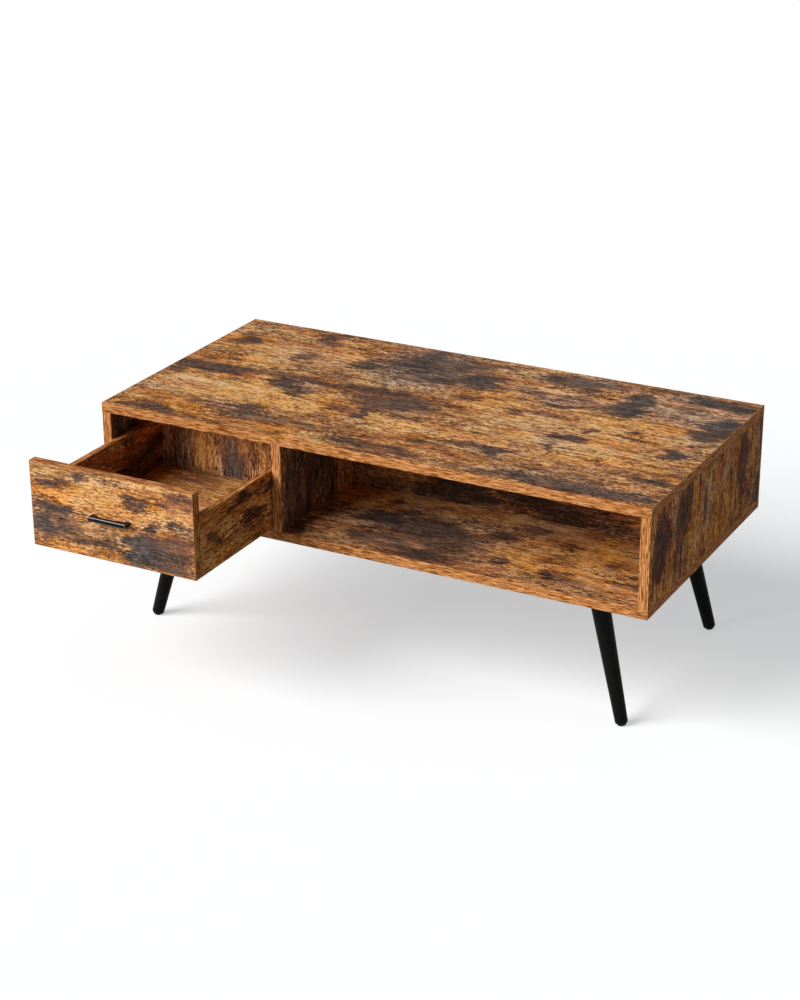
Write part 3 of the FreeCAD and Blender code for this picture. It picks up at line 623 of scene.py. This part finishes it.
# Greyed spots where the depth is positive, and warmer ones where it is negative, in the same way
board_ashes = {
    "top_panel": [
        (-90, 148, 100, 110, 0.28), (27, 123, 40, 30, 0.32), (202, 215, 35, 30, 0.32),
        (302, 148, 30, 50, 0.32), (243, 115, 100, 25, 0.24), (385, 228, 40, 25, 0.24),
        (468, 90, 35, 70, 0.32), (427, 157, 110, 80, 0.24), (-248, -27, 35, 35, 0.24),
        (-398, -6, 45, 12, 0.24), (-90, -93, 14, 28, 0.24), (-40, -27, 55, 40, 0.2),
        (456, -31, 25, 22, 0.32), (185, -147, 50, 14, 0.2), (302, -210, 100, 35, 0.24),
        (410, -222, 80, 18, 0.24), (285, -2, 12, 12, 0.24), (268, -35, 22, 20, 0.2),
        (-440, -190, 110, 50, -0.2), (-423, 48, 90, 80, -0.12), (-173, 11, 80, 8, -0.24),
        (368, 0, 60, 8, -0.28), (165, 126, 60, 40, 0.2), (233, 213, 40, 28, 0.15),
        (397, 115, 45, 45, 0.15), (-360, -128, 60, 35, -0.2), (193, -63, 40, 25, -0.2),
        (-193, 45, 35, 25, 0.2), (110, 133, 35, 28, 0.2), (488, 192, 20, 40, 0.2),
    ],
    "bottom_panel": [
        (330, -150, 150, 80, -0.25), (70, -158, 130, 95, 0.12), (-85, -60, 60, 55, -0.2),
        (380, -65, 60, 40, -0.2), (335, -200, 60, 25, 0.2), (443, -185, 35, 20, 0.1),
    ],
    "left_side_panel": [
        (50, -200, 55, 75, 0.5),
    ],
    "drawer_front": [
        (46, 34, 20, 14, 0.3), (42, -36, 22, 38, 0.36), (61, -51, 30, 34, 0.18), (111, -38, 60, 40, 0.12),
        (129, 9, 25, 12, 0.15), (-101, -2, 30, 14, 0.18), (-146, -33, 30, 25, 0.18),
        (-71, 56, 25, 12, 0.15), (-121, 41, 20, 10, 0.12), (-91, 38, 30, 6, -0.09),
        (74, 19, 40, 12, -0.07), (-24, 30, 90, 32, -0.15), (-118, 21, 45, 12, -0.12),
        (79, 3, 26, 14, 0.2), (-79, 10, 25, 10, -0.15),
    ],
    "drawer_back": [
        (0, -10, 60, 30, 0.3), (0, -64, 60, 26, -0.25), (0, -112, 60, 36, 0.4), (6, -34, 40, 14, -0.3),
    ],
}

# Each board's grain, seed, tone, bite of its mottling, wildness of its clouds, smoke, ash and russet
boards = {
    # The top's tone is set partly as painted shade against the strong light from above
    "top_panel": (along_x_flat, 0.0, 0.70, 1.55, 0.2, 0.44, -0.05, 0.0),
    "bottom_panel": (along_x_flat, 3.3, 0.66, 1.2, 0.15, 0.4, 0.05, 0.0),
    "left_side_panel": (along_z_facing_x, 5.1, 0.68, 1.2, 0.9, 0.4, -0.1, 0.0),
    "right_side_panel": (along_z_facing_x, 7.9, 0.72, 2.0, 0.25, 0.1, -0.1, 0.8),
    "divider_panel": (along_z_facing_x, 9.2, 0.66, 1.1, 0.6, 0.3, 0.0, -0.3),
    # The shelf back's low tone is partly painted shade under the top
    "shelf_back_panel": (along_x_upright, 11.4, 0.49, 1.2, 1.0, 0.4, -0.05, 0.0),
    "drawer_bay_back_panel": (along_x_upright, 13.8, 0.66, 1.2, 1.2, 0.4, -0.1, 0.0),
    "drawer_front": (along_x_upright, 15.6, 0.745, 1.2, 0.15, 0.65, -0.01, 0.0),
    "drawer_left_side": (along_y_upright, 17.5, 0.62, 1.2, 0.9, 0.2, 0.0, 0.0),
    "drawer_right_side": (along_y_upright, 19.7, 0.72, 1.2, 0.4, 0.12, -0.16, 0.2),
    # The drawer back's high tone is partly painted light in the drawer's shade
    "drawer_back": (along_z_facing_y, 21.3, 0.83, 1.7, 0.3, 0.5, 0.05, 0.2),
    "drawer_bottom": (along_x_flat, 23.9, 0.82, 1.2, 0.6, 0.3, -0.12, 0.0),
}


def band_material(node, tone, axes, turned_axes, turned_where):
    """Edge banding with its grain along each strip; turned_where gives the mask of the turned strips."""
    material, tree, shader, place = new_material(node + "_decor")
    straight = grain_place(tree, place, node, axes)
    turned = grain_place(tree, place, node, turned_axes)
    # Inputs 4 and 5 and output 1 of a Mix node are its vectors
    inputs = {0: turned_where(tree, place), 4: straight, 5: turned}
    grain = put(tree, "ShaderNodeMix", inputs, data_type="VECTOR").outputs[1]
    decor = use_group(tree, band_decor, {"Grain": grain, "Tone": tone})
    print_surface(tree, shader, decor["Color"], decor, band_grain_depth)
    return material


def facing_x(tree, place):
    return on_axis(tree, place, 0)


def nowhere(tree, place):
    return 0.0


def over_drawer_sides(tree, place):
    """One over the drawer's two sides, and zero over its back."""
    low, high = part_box("drawer_back")
    parts = put(tree, "ShaderNodeSeparateXYZ", {0: place["Object"]}).outputs
    away = sum_up(tree, "ABSOLUTE", sum_up(tree, "SUBTRACT", parts[0], (low.x + high.x) / 2))
    return sum_up(tree, "GREATER_THAN", away, (high.x - low.x) / 2)


# Each banding's tone, grain, turned grain, and where it is turned
bands = {
    "top_panel_edge_bands": (0.57, along_x_upright, along_y_upright, facing_x),
    "bottom_panel_edge_bands": (0.53, along_x_upright, along_y_upright, facing_x),
    "upright_edge_bands": (0.55, along_z_facing_y, along_z_facing_y, nowhere),
    # The drawer's two bandings have lower tones than the case's: partly a darker banding, partly painted
    # shade on their upward-facing strips
    "drawer_front_edge_bands": (0.37, along_x_flat, along_z_facing_x, facing_x),
    "drawer_box_edge_bands": (0.34, along_x_flat, along_y_flat, over_drawer_sides),
}


def coat_material(name, colour, roughness, grain_size, depth, metallic, specular):
    """A sprayed, plated or moulded finish with a fine tooth and slight clouds of shade."""
    material, tree, shader, place = new_material(name)
    inputs = {"Place": place["Object"], "Grain Size": grain_size, "Roughness": roughness}
    tooth = use_group(tree, fine_tooth, inputs)
    tint = blend(tree, 1.0, linear(*colour), grey_of(tree, tooth["Shade"]), "MULTIPLY")
    link_up(tree, shader.inputs, {"Base Color": tint, "Roughness": tooth["Roughness"]})
    shader.inputs["Metallic"].default_value = metallic
    shader.inputs["Specular IOR Level"].default_value = specular
    raise_surface(tree, shader, tooth["Height"], depth)
    return material


# Each plain finish as sRGB colour, roughness, grain size and depth in metres, metallic and specular
plain_finishes = {
    "leg_lacquer": ((15, 14, 13), 0.5, 0.0012, 0.00004, 0.0, 0.06),
    "black_powder_coat": ((18, 18, 18), 0.42, 0.0009, 0.00003, 0.0, 0.15),
    "handle_lacquer": ((8, 8, 8), 0.3, 0.0009, 0.000004, 0.0, 0.1),
    "handle_burnished_arris": ((10, 10, 10), 0.2, 0.0009, 0.000002, 0.0, 1.0),
    "zinc_plate": ((190, 190, 186), 0.32, 0.0012, 0.00002, 1.0, 0.25),
    "plain_beech": ((205, 170, 124), 0.6, 0.002, 0.00005, 0.0, 0.25),
    "black_moulding": ((28, 28, 29), 0.55, 0.0008, 0.00003, 0.0, 0.25),
    "nylon_strip": ((222, 220, 212), 0.4, 0.001, 0.00002, 0.0, 0.25),
}
finish = {name: coat_material(name, *settings) for name, settings in plain_finishes.items()}
coats = {
    "leg_paint": finish["leg_lacquer"],
    "black_steel": finish["black_powder_coat"],
    "zinc_steel": finish["zinc_plate"],
    "dowel_wood": finish["plain_beech"],
    "black_plastic": finish["black_moulding"],
    "nylon": finish["nylon_strip"],
}


def dress(mesh, material):
    """Gives a mesh one finish."""
    mesh.materials.clear()
    mesh.materials.append(material)


for node, settings in boards.items():
    dress(frame["nodes"][node].data, board_material(node, *settings))
for node, settings in bands.items():
    dress(frame["nodes"][node].data, band_material(node, *settings))
for subpart in frame["record"]["subparts"]:
    if subpart["material_slot"] in coats:
        dress(frame["nodes"][subpart["node"]].data, coats[subpart["material_slot"]])


# Pieces that stand for carried-over nodes
def add_object(name, data):
    """A new object in the scene, of a mesh, a lamp or a camera."""
    item = bpy.data.objects.new(name, data)
    bpy.context.scene.collection.objects.link(item)
    return item


def add_piece(name, mesh, body, nodes):
    """A finished piece that rides on a body in place of some carried-over nodes."""
    piece = add_object(name, mesh)
    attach(piece, body)
    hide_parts(*nodes)


def merged_copy(node):
    """A copy of a node's mesh with its loose triangles joined."""
    work = bmesh.new()
    work.from_mesh(frame["nodes"][node].data)
    bmesh.ops.remove_doubles(work, verts=work.verts, dist=merge_distance)
    mesh = bpy.data.meshes.new(node + "_merged")
    work.to_mesh(mesh)
    work.free()
    return mesh


def soften(mesh):
    """Smooth shading with sharp arrises."""
    mesh.shade_smooth()
    mesh.set_sharp_from_angle(angle=smooth_angle)


def solid_boxes(mesh):
    """The lowest and highest corners of each separate solid in a merged mesh."""
    work = bmesh.new()
    work.from_mesh(mesh)
    waiting = set(work.verts)
    boxes = []
    while waiting:
        found = [waiting.pop()]
        for vert in found:
            near = {edge.other_vert(vert) for edge in vert.link_edges} & waiting
            waiting -= near
            found.extend(near)
        low = Vector([min(vert.co[axis] for vert in found) for axis in range(3)])
        high = Vector([max(vert.co[axis] for vert in found) for axis in range(3)])
        boxes.append((low, high))
    work.free()
    return boxes


def shape_tree(name, inputs):
    """A new geometry tree with named inputs after its geometry."""
    geometry = [("Geometry", "Geometry")]
    return new_tree("GeometryNodeTree", name, geometry + inputs, geometry)


def finish_tree(tree, geometry, material, result):
    """Realizes what a tree makes, rounds its shading off and gives it its finish."""
    real = put(tree, "GeometryNodeRealizeInstances", {"Geometry": geometry}).outputs[0]
    soft = put(tree, "GeometryNodeSetShadeSmooth", {"Geometry": real, "Shade Smooth": True}, domain="FACE")
    bend = tree.nodes.new("GeometryNodeInputMeshEdgeAngle").outputs["Unsigned Angle"]
    sharp = sum_up(tree, "GREATER_THAN", bend, smooth_angle)
    inputs = {"Geometry": soft.outputs[0], "Selection": sharp, "Shade Smooth": False}
    crisp = put(tree, "GeometryNodeSetShadeSmooth", inputs, domain="EDGE").outputs[0]
    done = put(tree, "GeometryNodeSetMaterial", {"Geometry": crisp, "Material": material}).outputs[0]
    link_up(tree, result, {"Geometry": done})


def aimed(tree, points, shape):
    """A shape set on points, with its +Z along each point's aim."""
    named = put(tree, "GeometryNodeInputNamedAttribute", {"Name": "aim"}, data_type="FLOAT_VECTOR")
    turn = put(tree, "FunctionNodeAlignRotationToVector", {"Vector": named.outputs["Attribute"]}, axis="Z")
    inputs = {"Points": points, "Instance": shape, "Rotation": turn.outputs[0]}
    return put(tree, "GeometryNodeInstanceOnPoints", inputs).outputs[0]


def make_turned_leg():
    """A tapered leg from a foot with a rounded rim, along each point's aim."""
    sizes = ("Length", "Head Radius", "Foot Radius", "Foot Round")
    inputs = [(name, "Float") for name in sizes] + [("Material", "Material")]
    tree, given, result = shape_tree("turned_leg", inputs)
    unit = {"Vertices": leg_sides, "Side Segments": leg_rings, "Radius": 1.0, "Depth": 1.0}
    blank = put(tree, "GeometryNodeMeshCylinder", unit).outputs["Mesh"]
    position = tree.nodes.new("GeometryNodeInputPosition").outputs[0]
    spot = put(tree, "ShaderNodeSeparateXYZ", {0: position}).outputs
    from_foot = sum_up(tree, "ADD", spot[2], unit["Depth"] / 2, clamp=True)
    share = sum_up(tree, "POWER", from_foot, leg_ring_crowding)
    height = sum_up(tree, "MULTIPLY", share, given["Length"])
    widening = sum_up(tree, "SUBTRACT", given["Head Radius"], given["Foot Radius"])
    taper = sum_up(tree, "MULTIPLY_ADD", share, widening, given["Foot Radius"])
    near = sum_up(tree, "SUBTRACT", 1.0, sum_up(tree, "DIVIDE", height, given["Foot Round"]), clamp=True)
    arc = sum_up(tree, "SQRT", sum_up(tree, "SUBTRACT", 1.0, sum_up(tree, "MULTIPLY", near, near)))
    turn_in = sum_up(tree, "MULTIPLY", sum_up(tree, "SUBTRACT", 1.0, arc), given["Foot Round"])
    radius = sum_up(tree, "SUBTRACT", taper, turn_in)
    ring = {axis: sum_up(tree, "MULTIPLY", spot[axis], radius) for axis in (0, 1)}
    place = put(tree, "ShaderNodeCombineXYZ", {**ring, 2: height}).outputs[0]
    leg = put(tree, "GeometryNodeSetPosition", {"Geometry": blank, "Position": place}).outputs[0]
    finish_tree(tree, aimed(tree, given["Geometry"], leg), given["Material"], result)
    return tree


def make_cross_recess():
    """Cuts a driver's cross into the solids, on each of an object's points and along its aim."""
    sizes = ("Cross Length", "Cross Width", "Cross Depth")
    inputs = [("Points", "Object")] + [(name, "Float") for name in sizes] + [("Material", "Material")]
    tree, given, result = shape_tree("cross_recess", inputs)
    points = put(tree, "GeometryNodeObjectInfo", {"Object": given["Points"]}).outputs["Geometry"]
    both_ways = sum_up(tree, "ADD", given["Cross Depth"], given["Cross Depth"])
    settings = {"operation": "DIFFERENCE", "solver": "EXACT"}
    cut = put(tree, "GeometryNodeMeshBoolean", {"Mesh 1": given["Geometry"]}, **settings)
    for width, length in (("Cross Length", "Cross Width"), ("Cross Width", "Cross Length")):
        sides = {0: given[width], 1: given[length], 2: both_ways}
        size = put(tree, "ShaderNodeCombineXYZ", sides).outputs[0]
        bar = put(tree, "GeometryNodeMeshCube", {"Size": size}).outputs["Mesh"]
        bars = put(tree, "GeometryNodeRealizeInstances", {"Geometry": aimed(tree, points, bar)}).outputs[0]
        link_up(tree, cut.inputs, {"Mesh 2": bars})
    finish_tree(tree, cut.outputs["Mesh"], given["Material"], result)
    return tree


def aimed_points(name, points):
    """A mesh object of bare points that hold their aims."""
    mesh = bpy.data.meshes.new(name)
    mesh.from_pydata([place for place, aim in points], [], [])
    aims = mesh.attributes.new("aim", "FLOAT_VECTOR", "POINT")
    for item, (place, aim) in zip(aims.data, points):
        item.vector = aim
    return add_object(name, mesh)


def finished_mesh(source):
    """The plain mesh that an object's modifiers make of it; the object is then removed."""
    graph = bpy.context.evaluated_depsgraph_get()
    mesh = bpy.data.meshes.new_from_object(source.evaluated_get(graph), depsgraph=graph)
    bpy.data.objects.remove(source)
    return mesh


def grown_mesh(source, tree, values):
    """The plain mesh that a tree makes from an object."""
    modifier = source.modifiers.new("shape", "NODES")
    modifier.node_group = tree
    for item in tree.interface.items_tree:
        if item.in_out == "INPUT" and item.name in values:
            modifier[item.identifier] = values[item.name]
    return finished_mesh(source)


def add_turned_legs():
    """Four legs on their plates' slanted cups, splayed both ways."""
    points = []
    for corner, (side_x, side_y) in leg_corners.items():
        low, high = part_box(corner + "_leg_plate")
        head = Vector(((low.x + high.x) / 2, (low.y + high.y) / 2, high.z))
        run = Vector((side_x * leg_foot_run.x, side_y * leg_foot_run.y, -head.z))
        up = -run.normalized()
        end = head + run + up * (leg_foot_lift / up.z)
        length = (head - up * leg_cup_drop - end).length
        points.append((end, up))
    values = {"Length": length, "Head Radius": leg_head_radius, "Foot Radius": leg_foot_radius}
    values.update({"Foot Round": leg_foot_round, "Material": finish["leg_lacquer"]})
    mesh = grown_mesh(aimed_points("leg_points", points), make_turned_leg(), values)
    add_piece("turned_legs", mesh, "cabinet", [corner + "_leg" for corner in leg_corners])


def add_recessed(tree, node, body, slot, cross, aim):
    """A node's fasteners with crosses in their heads, aimed into the work or else towards the middle."""
    mesh = merged_copy(node)
    boxes = solid_boxes(mesh)
    centres = [(low + high) / 2 for low, high in boxes]
    middle = sum(centres, Vector()) / len(centres)
    points = []
    for centre, (low, high) in zip(centres, boxes):
        into = aim or Vector((math.copysign(1.0, middle.x - centre.x), 0.0, 0.0))
        reach = (high - low) / 2
        points.append((centre - into * reach, into))
    marks = aimed_points(node + "_points", points)
    length, width, depth = cross
    values = {"Points": marks, "Cross Length": length, "Cross Width": width, "Cross Depth": depth}
    values["Material"] = coats[slot]
    cut = grown_mesh(add_object(node + "_blank", mesh), tree, values)
    bpy.data.objects.remove(marks)
    add_piece("cross_head_" + node, cut, body, [node])


def add_handle():
    """A square bar bent into a bracket, with softly rounded arrises."""
    low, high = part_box("drawer_handle")
    outline = [(low.x, high.y), (low.x, low.y), (high.x, low.y), (high.x, high.y)]
    outline += [(high.x - handle_bar, high.y), (high.x - handle_bar, low.y + handle_bar)]
    outline += [(low.x + handle_bar, low.y + handle_bar), (low.x + handle_bar, high.y)]
    count = len(outline)
    verts = [(x, y, z) for z in (low.z, high.z) for x, y in outline]
    faces = [tuple(reversed(range(count))), tuple(range(count, 2 * count))]
    faces += [(i, (i + 1) % count, (i + 1) % count + count, i + count) for i in range(count)]
    blank = bpy.data.meshes.new("handle_blank")
    blank.from_pydata(verts, [], faces)
    blank.materials.append(finish["handle_lacquer"])
    blank.materials.append(finish["handle_burnished_arris"])
    source = add_object("handle_blank", blank)
    bevel = source.modifiers.new("rounded_arrises", "BEVEL")
    bevel.width = handle_edge_round
    bevel.segments = handle_edge_steps
    bevel.limit_method = "ANGLE"
    bevel.material = len(blank.materials) - 1
    mesh = finished_mesh(source)
    soften(mesh)
    add_piece("bracket_handle", mesh, "drawer", ["drawer_handle"])


def add_rounded(node, body, slot):
    """A smooth-shaded copy of a node with round forms."""
    mesh = merged_copy(node)
    soften(mesh)
    dress(mesh, coats[slot])
    add_piece("smooth_" + node, mesh, body, [node])


# Each kind of cross-headed fastener with its body, slot, cross and aim
upwards = Vector((0.0, 0.0, 1.0))
forwards = Vector((0.0, -1.0, 0.0))
fasteners = [
    ("leg_plate_screws", "cabinet", "black_steel", small_cross, upwards),
    ("bottom_screws", "cabinet", "zinc_steel", large_cross, upwards),
    ("drawer_stop_screws", "cabinet", "zinc_steel", small_cross, -upwards),
    ("handle_screws", "drawer", "zinc_steel", small_cross, forwards),
    ("drawer_back_screws", "drawer", "zinc_steel", small_cross, None),
]
cross_recess = make_cross_recess()
add_turned_legs()
add_handle()
for corner in leg_corners:
    add_rounded(corner + "_leg_plate", "cabinet", "black_steel")
add_rounded("foot_glides", "cabinet", "black_plastic")
add_rounded("hanger_bolts", "cabinet", "zinc_steel")
for fastener in fasteners:
    add_recessed(cross_recess, *fastener)


# Stage: floor, world, light and camera
def white_to_eye(tree):
    """One for the rays that show the background, and zero for those that light the object."""
    path = tree.nodes.new("ShaderNodeLightPath").outputs
    seen = sum_up(tree, "MAXIMUM", path["Is Camera Ray"], path["Is Glossy Ray"])
    return sum_up(tree, "MAXIMUM", seen, path["Is Transmission Ray"])


def make_floor():
    """A pale floor that keeps the shadow near the table, is white away from it and clear from below."""
    mesh = bpy.data.meshes.new("floor")
    signs = ((-1, -1), (1, -1), (1, 1), (-1, 1))
    mesh.from_pydata([(x * floor_half, y * floor_half, 0.0) for x, y in signs], [], [(0, 1, 2, 3)])
    floor = add_object("floor", mesh)
    material, tree, shader, place = new_material("pale_floor")
    seen = white_to_eye(tree)
    reach = vector_sum(tree, "LENGTH", place["Object"], output="Value")
    shown = step_between(tree, reach, *floor_fade, floor_shown, 0.0)
    tint = blend(tree, seen, grey_of(tree, floor_bounce), grey_of(tree, shown))
    own = [step_between(tree, reach, *floor_fade, share, 1.0) for share in floor_own_white]
    glow = colour_of(tree, [sum_up(tree, "MULTIPLY", share, seen) for share in own])
    link_up(tree, shader.inputs, {"Base Color": tint, "Emission Color": glow})
    shader.inputs["Emission Strength"].default_value = 1.0
    shader.inputs["Roughness"].default_value = floor_roughness
    shader.inputs["Specular IOR Level"].default_value = 0.0
    below = tree.nodes.new("ShaderNodeNewGeometry").outputs["Backfacing"]
    clear = tree.nodes.new("ShaderNodeBsdfTransparent")
    one_sided = put(tree, "ShaderNodeMixShader", {0: below, 1: shader.outputs[0], 2: clear.outputs[0]})
    link_up(tree, tree.nodes["Material Output"].inputs, {"Surface": one_sided.outputs[0]})
    dress(mesh, material)


def make_world():
    """A dim even room that looks white to the eye."""
    world = bpy.data.worlds.new("studio")
    world.use_nodes = True
    tree = world.node_tree
    room = tree.nodes["Background"]
    room.inputs["Color"].default_value = ambient_colour
    room.inputs["Strength"].default_value = ambient_strength
    white = put(tree, "ShaderNodeBackground", {"Color": plain_white, "Strength": 1.0})
    inputs = {0: white_to_eye(tree), 1: room.outputs[0], 2: white.outputs[0]}
    mix = put(tree, "ShaderNodeMixShader", inputs)
    link_up(tree, tree.nodes["World Output"].inputs, {"Surface": mix.outputs[0]})
    bpy.context.scene.world = world


def make_key_light():
    """One broad soft light from the upper left front, even over the whole floor."""
    light = bpy.data.lights.new("key_light", "SUN")
    light.energy = key_strength
    light.angle = key_spread
    lamp = add_object("key_light", light)
    lamp.rotation_euler = key_direction.to_track_quat("Z", "Y").to_euler()


def make_camera():
    """The photo's camera, turned about its target."""
    data = bpy.data.cameras.new("camera")
    data.lens = camera_lens_mm
    data.sensor_width = camera_sensor_mm
    camera = add_object("camera", data)
    level = math.cos(camera_elevation)
    across = math.sin(camera_azimuth)
    along = math.cos(camera_azimuth)
    back = Vector((across * level, -along * level, math.sin(camera_elevation)))
    right = Vector((along, across, 0.0))
    up = back.cross(right)
    turned_right = right * math.cos(camera_roll) + up * math.sin(camera_roll)
    turned_up = up * math.cos(camera_roll) - right * math.sin(camera_roll)
    turn = Matrix((turned_right, turned_up, back)).transposed()
    camera.matrix_world = Matrix.Translation(camera_target + back * camera_distance) @ turn.to_4x4()
    bpy.context.scene.camera = camera


make_floor()
make_world()
make_key_light()
make_camera()
bpy.context.scene.view_settings.view_transform = "Standard"
